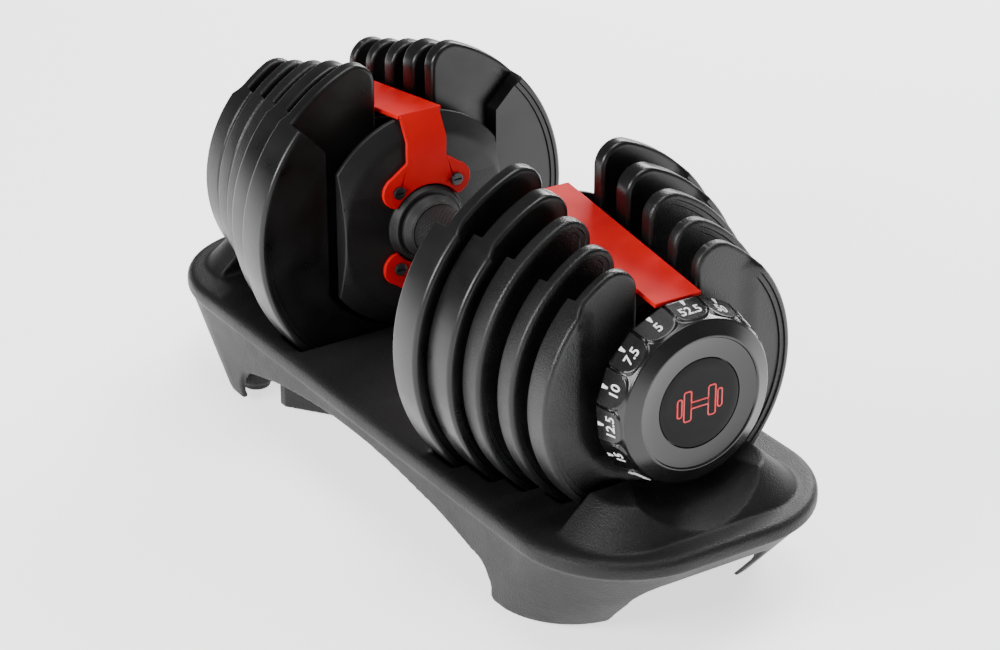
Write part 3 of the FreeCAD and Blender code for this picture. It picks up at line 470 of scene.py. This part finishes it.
def on_pad(index, side, along, across, lift):
    """Point on a pad's flat: along from the ring's back, across in the reading direction."""
    angle = pad_angle(index)
    out = Vector((0, math.cos(angle), math.sin(angle)))
    reading = Vector((0, math.sin(angle), -math.cos(angle)))
    base = Vector((DIAL_BACK + along, 0, 0)) + out * (cone_radius(along) * FACET)
    spot = base + reading * across + out * lift
    return Vector((side * spot.x, side * spot.y, AXIS_Z + spot.z))


def label_mesh(text):
    """Triangulated number, thin and solid, centred on the origin."""
    curve = bpy.data.curves.new("label", "FONT")
    curve.body = text
    curve.size = LABEL_SIZE
    curve.align_x = "CENTER"
    curve.align_y = "CENTER"
    curve.extrude = LABEL_THICK
    curve.offset = LABEL_BOLD
    curve.resolution_u = 5
    return baked(linked("label_work", curve))


def dial_print(side_name, side):
    """White number and wedge mark on each pad."""
    bm = bmesh.new()
    for index, text in enumerate(DIAL_LABELS):
        mesh = label_mesh(text)
        verts = []
        for vert in mesh.vertices:
            spot = on_pad(index, side, LABEL_CENTRE - vert.co.y, vert.co.x, LABEL_LIFT + vert.co.z)
            verts.append(bm.verts.new(spot))
        for face in mesh.polygons:
            bm.faces.new([verts[place] for place in face.vertices])
        bpy.data.meshes.remove(mesh)
        wedge = []
        for lift in WEDGE_LIFTS:
            for along, across in WEDGE:
                wedge.append(bm.verts.new(on_pad(index, side, along * MM, across * MM, lift)))
        under = wedge[:len(WEDGE)]
        top = wedge[len(WEDGE):]
        bm.faces.new(under)
        bm.faces.new(top)
        join_rings(bm, under, top)
    bmesh.ops.remove_doubles(bm, verts=bm.verts, dist=POINT_WELD)
    bmesh.ops.recalc_face_normals(bm, faces=bm.faces)
    name = "dial_numbers_" + side_name
    return new_object(name, as_mesh(bm, name), WHITE, "dial_" + side_name, "dial_plastic")


def emblem_cap(side_name, side):
    """Flat disc with a slightly crowned face."""
    front = DIAL_FRONT - CAP_SUNK
    rim = CAP_RAD - CAP_EDGE
    rows = [(front - CAP_THICK, 0.0), (front - CAP_THICK, CAP_RAD), (front - CAP_EDGE, CAP_RAD),
            (front - CAP_CHAMFER, CAP_RAD - CAP_CHAMFER), (front, rim)]
    for step in range(1, CROWN_STEPS + 1):
        share = step / CROWN_STEPS
        rows.append((front + CAP_CROWN * math.sin(math.pi / 2 * share), rim * (1 - share)))
    mesh = lathe(rows, side, CAP_STEPS)
    smooth(mesh)
    name = "emblem_cap_" + side_name
    return new_object(name + "_visual", mesh, CAP, "dial_" + side_name, "cap_plastic", name)


def round_box(left, right, half):
    """Corner points of a box with rounded corners, in millimetres, counter-clockwise from the right."""
    round_by = EMBLEM_CORNER if half > EMBLEM_TALL else EMBLEM_BAR_CORNER
    points = []
    for across, up, first in ((right, half, 0), (left, half, 90), (left, -half, 180), (right, -half, 270)):
        middle_across = across - math.copysign(round_by, across - (left + right) / 2)
        middle_up = up - math.copysign(round_by, up)
        for part in range(4):
            turn = math.radians(first + 30 * part)
            points.append((middle_across + round_by * math.cos(turn), middle_up + round_by * math.sin(turn)))
    return points


def emblem(side_name, side):
    """Generic sign on the cap: a small dumbbell in outline."""
    front = DIAL_FRONT - EMBLEM_SUNK
    curve = bpy.data.curves.new("emblem", "CURVE")
    curve.dimensions = "3D"
    curve.bevel_depth = EMBLEM_LINE
    curve.bevel_resolution = 2
    for left, right, half in EMBLEM_BOXES:
        corners = round_box(left, right, half)
        spline = curve.splines.new("POLY")
        spline.points.add(len(corners) - 1)
        spline.use_cyclic_u = True
        for point, (across, up) in zip(spline.points, corners):
            point.co = (side * front, side * across * MM, AXIS_Z + up * MM, 1)
    mesh = baked(linked("emblem_work", curve))
    for vert in mesh.vertices:
        vert.co.x = side * front + (vert.co.x - side * front) * EMBLEM_FLATTEN
    name = "emblem_" + side_name
    mesh.name = name
    return new_object(name, mesh, RED_PRINT, "dial_" + side_name, "cap_plastic")


# ---------------------------------------------------------------- weight plates

# Where each plate's thin tab beside the slot starts and ends, in millimetres from the handle's middle.
PLATE_TABS = ((78, 87), (98, 110), (120.5, 130), (143, 151), (163, 170))
SLOT_HALF = 18 * MM
LOBE_RAD = 13 * MM
EDGE_ROUND = 2.3 * MM
# Two fine steps round each face: where each starts and ends inwards from the rim, and its depth.
STEP_LINES = ((3.2 * MM, 3.7 * MM, 0.9 * MM), (6.0 * MM, 6.5 * MM, 0.9 * MM))
FACE_INSET = 6.9 * MM
# Height above the axis from which a hollow's straight sides lean out at 45 degrees.
FLARE_FROM = 50 * MM
# Hollows, as half width and bottom radius: plate 1's inner face, the other inner faces, the outer faces.
FIRST_HOLLOW = (55 * MM, 66 * MM)
INNER_HOLLOW = (47 * MM, 49 * MM)
OUTER_HOLLOW = (56 * MM, 58 * MM)
WALL_SLOPE = 1.2 * MM
OUTER_SLOPE = 13 * MM
LEAST_HOLLOW = 0.5 * MM
# Numbers of points: round the rim, each lobe, each side of the slot, the slot's bottom, a hollow's
# bottom and the rounded edge.
RIM_STEPS = 170
LOBE_STEPS = 20
SIDE_STEPS = 14
BOTTOM_STEPS = 28
HOLLOW_STEPS = 24
ROUND_STEPS = 6
# Points inside a face: their spacing, the rows' spacing as a share of it, the distances they keep from
# the ring and from a hollow's edges, how near points may be to count as one, and how far past the ring
# a triangle's middle may lie.
SPACING = 3.2 * MM
ROW_SHARE = 0.87
RING_FREE = 1.6 * MM
CREASE_FREE = 0.9 * MM
FILL_WELD = 0.001 * MM
FILL_SLACK = 0.05 * MM
# Lug under the slot: half width, distances from the axis, and reach past the tab's inner face.
LUG_HALF = 7 * MM
LUG_LOW = 38.3 * MM
LUG_TOP = 21 * MM
LUG_OUT = 5.5 * MM
LUG_IN = 1.0 * MM
LUG_ROUND = 0.6 * MM


class Recess:
    """Depth of a hollow in a plate's face, beside the slot: straight sides that flare at the top,
    round at the bottom. A wide slope curves up to a crisp edge; a narrow one is a wall."""

    def __init__(self, depth, half, low, slope):
        self.depth = depth
        self.half = half
        self.low = low
        self.slope = slope

    def beyond(self, y, z):
        """Distance outside the hollow's edge, below zero inside."""
        side = abs(y) - self.half - max(0.0, z - FLARE_FROM)
        if z < 0:
            side = max(side, math.hypot(y, z) - self.low)
        return side

    def at(self, y, z):
        """Depth at a point: full inside, none outside, a curve over the slope."""
        share = 1 + self.beyond(y, z) / self.slope
        if share <= 0:
            return self.depth
        return self.depth * max(0.0, 1 - share * share)

    def crossing(self, radius, inside):
        """Angle at which the flared edge, moved inwards, meets a circle."""
        shift = self.half - FLARE_FROM - inside
        up = (math.sqrt(2 * radius * radius - shift * shift) - shift) / 2
        return math.atan2(up, up + shift)

    def edge(self, radius, inside):
        """Points along the edge, moved inwards, from one crossing of a circle down and up to the other."""
        half = self.half - inside
        low = self.low - inside
        first = self.crossing(radius, inside)
        points = [Vector((radius * math.cos(first), radius * math.sin(first))), Vector((half, FLARE_FROM))]
        bottom = 0.0 if half >= low else -math.acos(half / low)
        for step in range(HOLLOW_STEPS + 1):
            angle = bottom + (-math.pi - 2 * bottom) * step / HOLLOW_STEPS
            points.append(Vector((low * math.cos(angle), low * math.sin(angle))))
        points += [Vector((-half, FLARE_FROM)), Vector((-points[0].x, points[0].y))]
        return points


def rim_angles(radius, recesses):
    """Angles of the points round a plate's rim, from the left lobe under the plate to the right one,
    as a function of the inset, and the angle by which the lobes lean."""
    lean = math.acos((SLOT_HALF + LOBE_RAD) / (radius - LOBE_RAD))
    start = math.pi - lean
    end = 2 * math.pi + lean

    def angles(inset):
        made = [start + (end - start) * step / RIM_STEPS for step in range(RIM_STEPS + 1)]
        for recess in recesses:
            for inside in (0.0, recess.slope):
                turn = recess.crossing(radius - inset, inside)
                made += [2 * math.pi + turn, math.pi - turn]
        return sorted(made)
    return angles, lean


def plate_ring(radius, inset, angles, lean):
    """Points of a plate's outline moved inwards, counter-clockwise, the same number for any inset."""
    lobe = LOBE_RAD - inset
    half = SLOT_HALF + inset
    across = SLOT_HALF + LOBE_RAD
    up = math.sqrt((radius - LOBE_RAD) ** 2 - across ** 2)
    points = [((radius - inset) * math.cos(turn), (radius - inset) * math.sin(turn)) for turn in angles]
    for step in range(1, LOBE_STEPS + 1):
        turn = lean + (math.pi - lean) * step / LOBE_STEPS
        points.append((across + lobe * math.cos(turn), up + lobe * math.sin(turn)))
    for step in range(1, SIDE_STEPS + 1):
        points.append((half, up * (1 - step / SIDE_STEPS)))
    for step in range(1, BOTTOM_STEPS + 1):
        turn = -math.pi * step / BOTTOM_STEPS
        points.append((half * math.cos(turn), half * math.sin(turn)))
    for step in range(1, SIDE_STEPS + 1):
        points.append((-half, up * step / SIDE_STEPS))
    for step in range(1, LOBE_STEPS):
        turn = (math.pi - lean) * step / LOBE_STEPS
        points.append((-across + lobe * math.cos(turn), up + lobe * math.sin(turn)))
    return points


def in_plate(radius, inset, y, z):
    """True where a point lies inside the outline moved inwards."""
    away = math.hypot(y, z)
    across = SLOT_HALF + LOBE_RAD
    up = math.sqrt((radius - LOBE_RAD) ** 2 - across ** 2)
    if away > radius - inset or (z <= 0 and away < SLOT_HALF + inset):
        return False
    if z > 0 and abs(y) < SLOT_HALF + inset:
        return False
    right = abs(y) - across
    over = z - up
    if over > 0 and right * up - over * across < 0:
        return math.hypot(right, over) < LOBE_RAD - inset
    return True


def ring_drop(inset):
    """How far a plate's face lies below its rim: rounded edge, then two fine steps."""
    drop = 0.0
    if inset < EDGE_ROUND:
        drop = EDGE_ROUND - math.sqrt(max(0.0, EDGE_ROUND ** 2 - (EDGE_ROUND - inset) ** 2))
    for start, end, deep in STEP_LINES:
        drop += deep * min(1.0, max(0.0, (inset - start) / (end - start)))
    return drop


def fill_points(radius, recess):
    """Points spread over the inside of a face, clear of its ring and of the recess's edges."""
    points = []
    reach = int(radius / SPACING) + 1
    for row in range(-reach, reach + 1):
        for column in range(-reach, reach + 1):
            y = (column + 0.5 * (row % 2)) * SPACING
            z = row * SPACING * ROW_SHARE
            if not in_plate(radius, FACE_INSET + RING_FREE, y, z):
                continue
            if recess:
                beyond = recess.beyond(y, z)
                if min(abs(beyond), abs(beyond + recess.slope)) < CREASE_FREE:
                    continue
            points.append(Vector((y, z)))
    return points


def fill_face(bm, radius, ring, ring_points, height, recess):
    """Triangles over the inside of a plate's face, with the recess's edges kept crisp."""
    points = [Vector(point) for point in ring_points]
    count = len(points)
    edges = [(step, (step + 1) % count) for step in range(count)]
    if recess:
        for inside in (0.0, recess.slope):
            line = recess.edge(radius - FACE_INSET, inside)
            edges += [(len(points) + step, len(points) + step + 1) for step in range(len(line) - 1)]
            points += line
    points += fill_points(radius, recess)
    made, _, faces, origins, _, _ = delaunay_2d_cdt(points, edges, [], 0, FILL_WELD)
    verts = []
    for point, origin in zip(made, origins):
        first = origin[0] if origin else count
        if first < count:
            verts.append(ring[first])
        else:
            verts.append(bm.verts.new(height(point.x, point.y, FACE_INSET)))
    for face in faces:
        middle = sum((made[place] for place in face), Vector((0, 0))) / len(face)
        corners = [verts[place] for place in face]
        if in_plate(radius, FACE_INSET - FILL_SLACK, middle.x, middle.y) and len(set(corners)) == 3:
            bm.faces.new(corners)


def face_height(recess, face_x, way):
    """A face's surface: the hollow adds to the rounded edge, but takes in the two fine steps."""
    def height(y, z, inset):
        hollow = recess.at(y, z) if recess else 0.0
        drop = ring_drop(inset)
        drop = drop + hollow if inset < EDGE_ROUND else max(drop, hollow)
        return (face_x + way * drop, y, AXIS_Z + z)
    return height


def plate_mesh(number):
    """Near-end plate: slotted disc with round lobes and stepped rims. Its inner face has a hollow, and so
    does its outer face where the tab leaves room for one."""
    low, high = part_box("plate_shell_near_%d" % number)
    radius = (high.y - low.y) / 2
    tab_from, tab_to = (edge * MM for edge in PLATE_TABS[number - 1])
    inner = Recess(tab_from - low.x, *(FIRST_HOLLOW if number == 1 else INNER_HOLLOW), WALL_SLOPE)
    outer = None
    if high.x - tab_to > LEAST_HOLLOW:
        outer = Recess(high.x - tab_to, *OUTER_HOLLOW, OUTER_SLOPE)
    angles, lean = rim_angles(radius, [recess for recess in (inner, outer) if recess])
    insets = [EDGE_ROUND * (1 - math.cos(math.pi / 2 * step / ROUND_STEPS))
              for step in range(ROUND_STEPS + 1)]
    insets += [edge for line in STEP_LINES for edge in line[:2]] + [FACE_INSET]
    bm = bmesh.new()
    first_rings = []
    for recess, face_x, way in ((inner, low.x, 1), (outer, high.x, -1)):
        height = face_height(recess, face_x, way)
        rings = []
        for inset in insets:
            points = plate_ring(radius, inset, angles(inset), lean)
            rings.append([bm.verts.new(height(y, z, inset)) for y, z in points])
            if len(rings) > 1:
                join_rings(bm, rings[-2], rings[-1])
        first_rings.append(rings[0])
        fill_face(bm, radius, rings[-1], points, height, recess)
    join_rings(bm, *first_rings)
    bmesh.ops.recalc_face_normals(bm, faces=bm.faces)
    add_lug(bm, tab_from)
    mesh = as_mesh(bm, "plate")
    smooth(mesh, angle=28)
    return mesh


def add_lug(bm, tab_from):
    """Block under the slot that a selector disc's flange lifts."""
    made = bmesh.ops.create_cube(bm, size=1)
    low = Vector((tab_from - LUG_OUT, -LUG_HALF, AXIS_Z - LUG_LOW))
    high = Vector((tab_from + LUG_IN, LUG_HALF, AXIS_Z - LUG_TOP))
    for vert in made["verts"]:
        for part in range(3):
            vert.co[part] = low[part] if vert.co[part] < 0 else high[part]
    edges = {edge for vert in made["verts"] for edge in vert.link_edges}
    bmesh.ops.bevel(bm, geom=list(edges), offset=LUG_ROUND, segments=2, affect="EDGES", profile=0.5)


# ---------------------------------------------------------------- the pieces

# The cradle's mesh is made again from cubes of this size.
VOXEL = 1.1 * MM


def dress(node, material):
    """Give a CAD piece that stays as it is a finished material."""
    for place in NODES[node].material_slots:
        place.material = material


def make_plates():
    """Each plate's mesh once for the near end, and turned half round for the far end."""
    for number in range(1, PLATES + 1):
        material = PLATE_SMOOTH if number <= SATIN_PLATES else PLATE_SANDY
        mesh = plate_mesh(number)
        for side_name, side in SIDES:
            tag = "%s_%d" % (side_name, number)
            turned = mesh.copy()
            turned.name = "plate_shell_" + tag + "_visual"
            if side < 0:
                turned.transform(Matrix.Rotation(math.pi, 4, "Z"))
            new_object(turned.name, turned, material, "plate_" + tag, "plate_nylon", "plate_shell_" + tag)
            dress("plate_core_" + tag, CORE)


def make_handle_end(side_name):
    """Everything at one end of the handle but its dial."""
    for number in range(1, PLATES + 1):
        softened("selector_disc_%s_%d" % (side_name, number), DISC, "disc_nylon", width=0.4 * MM)
    softened("support_disc_" + side_name, SUPPORT, "disc_nylon", width=0.7 * MM)
    softened("grip_collar_" + side_name, GRIP, "grip_plastic", width=0.5 * MM)
    softened("upper_bridge_" + side_name, RED, "red_steel", width=0.5 * MM)
    softened("lower_bracket_" + side_name, RED, "red_steel", width=0.5 * MM)
    softened("lock_pin_" + side_name, STEEL, "steel", width=0.4 * MM)
    dress("lock_spring_" + side_name, WIRE)
    dress("detent_spring_" + side_name, WIRE)
    dress("detent_ball_" + side_name, STEEL)


def make_grip():
    """Contoured grip with a raised diamond pattern."""
    low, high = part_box("grip_sleeve")
    end = high.x
    mid = (high.y - low.y) / 2
    thin = 14.5 * MM
    inner = 11.0 * MM
    end_round = 0.6 * MM
    end_flat = 0.3 * MM
    rings = 150
    around = 168
    lines = 28
    pitch = 3.1 * MM
    groove_deep = 0.45 * MM
    groove_from = 0.55
    fade_over = 0.12

    def radius_at(x):
        share = x / end
        base = mid - (mid - thin) * share * share
        fade = min(1.0, max(0.0, (1 - abs(share)) / fade_over))

        def radius(angle):
            first = math.sin(lines * angle + 2 * math.pi * x / pitch)
            second = math.sin(lines * angle - 2 * math.pi * x / pitch)
            groove = max(0.0, max(first, second) - groove_from) / (1 - groove_from)
            return base - groove_deep * fade * groove
        return radius

    rows = [(-end, inner), (-end, thin - end_round)]
    for ring in range(rings + 1):
        x = -end + 2 * end * ring / rings
        x = max(-end + end_flat, min(end - end_flat, x))
        rows.append((x, radius_at(x)))
    rows += [(end, thin - end_round), (end, inner)]
    mesh = lathe(rows, 1, around)
    smooth(mesh, angle=60)
    new_object("grip_sleeve_visual", mesh, GRIP, "handle", "grip_plastic", "grip_sleeve")


def make_cradle():
    """Moulded tray: the CAD piece with every edge softened as in a moulding."""
    work = linked("tray_work", NODES["base_tray"].data.copy())
    remesh = work.modifiers.new("skin", "REMESH")
    remesh.mode = "VOXEL"
    remesh.voxel_size = VOXEL
    relax = work.modifiers.new("relax", "SMOOTH")
    relax.factor = 0.5
    relax.iterations = 3
    thin = work.modifiers.new("thin", "DECIMATE")
    thin.ratio = 0.4
    mesh = baked(work)
    mesh.shade_smooth()
    mesh.name = "base_tray_visual"
    new_object("base_tray_visual", mesh, CRADLE, "cradle", "cradle_plastic", "base_tray")


def make_small_parts():
    """Shaft, posts, feet and fasteners."""
    softened("lock_posts", CRADLE, "cradle_plastic", width=0.4 * MM)
    dress("rubber_feet", RUBBER)
    softened("handle_shaft", STEEL, "steel", width=0.4 * MM)
    softened("bridge_screws", SCREW, "screw_steel", width=0.2 * MM)
    softened("bracket_screws", SCREW, "screw_steel", width=0.2 * MM)
    softened("end_bolts", STEEL, "steel", width=0.3 * MM)
    softened("end_washers", STEEL, "steel", width=0.2 * MM)


# ---------------------------------------------------------------- stage

FLOOR_HALF = 4.0
LIGHT_AIM = Vector((0, 0, 0.1))


def add_camera():
    """The photograph's viewing angle: 57 degrees round from the front, 26 degrees up."""
    azimuth = math.radians(56.96)
    elevation = math.radians(26.43)
    distance = 1.661
    target = Vector((0.0183, 0.0003, AXIS_Z - 0.0325))
    back = Vector((math.sin(azimuth) * math.cos(elevation), -math.cos(azimuth) * math.cos(elevation),
                   math.sin(elevation)))
    data = bpy.data.cameras.new("camera")
    data.lens = 110.6
    data.sensor_width = 36
    data.clip_start = 0.05
    data.clip_end = 30
    camera = linked("camera", data)
    camera.location = target + back * distance
    camera.rotation_mode = "QUATERNION"
    camera.rotation_quaternion = (-back).to_track_quat("-Z", "Y")
    bpy.context.scene.camera = camera


def add_light(name, place, size, power):
    """Rectangular softbox turned towards the dumbbell."""
    data = bpy.data.lights.new(name, "AREA")
    data.shape = "RECTANGLE"
    data.size, data.size_y = size
    data.energy = power
    light = linked(name, data)
    light.location = place
    light.rotation_mode = "QUATERNION"
    light.rotation_quaternion = (LIGHT_AIM - Vector(place)).to_track_quat("-Z", "Y")


def add_stage():
    """Pale glowing floor, faint white surroundings and three softboxes."""
    mesh = bpy.data.meshes.new("floor")
    corners = [(-1, -1), (1, -1), (1, 1), (-1, 1)]
    mesh.from_pydata([(FLOOR_HALF * x, FLOOR_HALF * y, 0) for x, y in corners], [], [(0, 1, 2, 3)])
    floor = linked("floor", mesh)
    paint = bpy.data.materials.new("pale_floor")
    paint.use_nodes = True
    shader = paint.node_tree.nodes["Principled BSDF"]
    shader.inputs["Base Color"].default_value = (0.9, 0.9, 0.9, 1)
    shader.inputs["Roughness"].default_value = 0.9
    shader.inputs["Specular IOR Level"].default_value = 0.1
    shader.inputs["Emission Color"].default_value = (1, 1, 1, 1)
    shader.inputs["Emission Strength"].default_value = 1.6
    mesh.materials.append(paint)
    world = bpy.data.worlds.new("studio")
    world.use_nodes = True
    background = world.node_tree.nodes["Background"]
    background.inputs["Color"].default_value = (1, 1, 1, 1)
    background.inputs["Strength"].default_value = 0.2
    bpy.context.scene.world = world
    add_light("softbox_left", place=(0.1, -1.7, 0.9), size=(1.1, 0.5), power=40)
    add_light("softbox_back", place=(-0.9, 1.5, 1.1), size=(1.4, 0.6), power=55)
    add_light("softbox_top", place=(0.2, 0.1, 2.1), size=(1.2, 1.2), power=34)


make_plates()
for side_name, side in SIDES:
    make_handle_end(side_name)
    number_ring(side_name, side)
    dial_print(side_name, side)
    emblem_cap(side_name, side)
    emblem(side_name, side)
make_grip()
make_cradle()
make_small_parts()
add_stage()
add_camera()
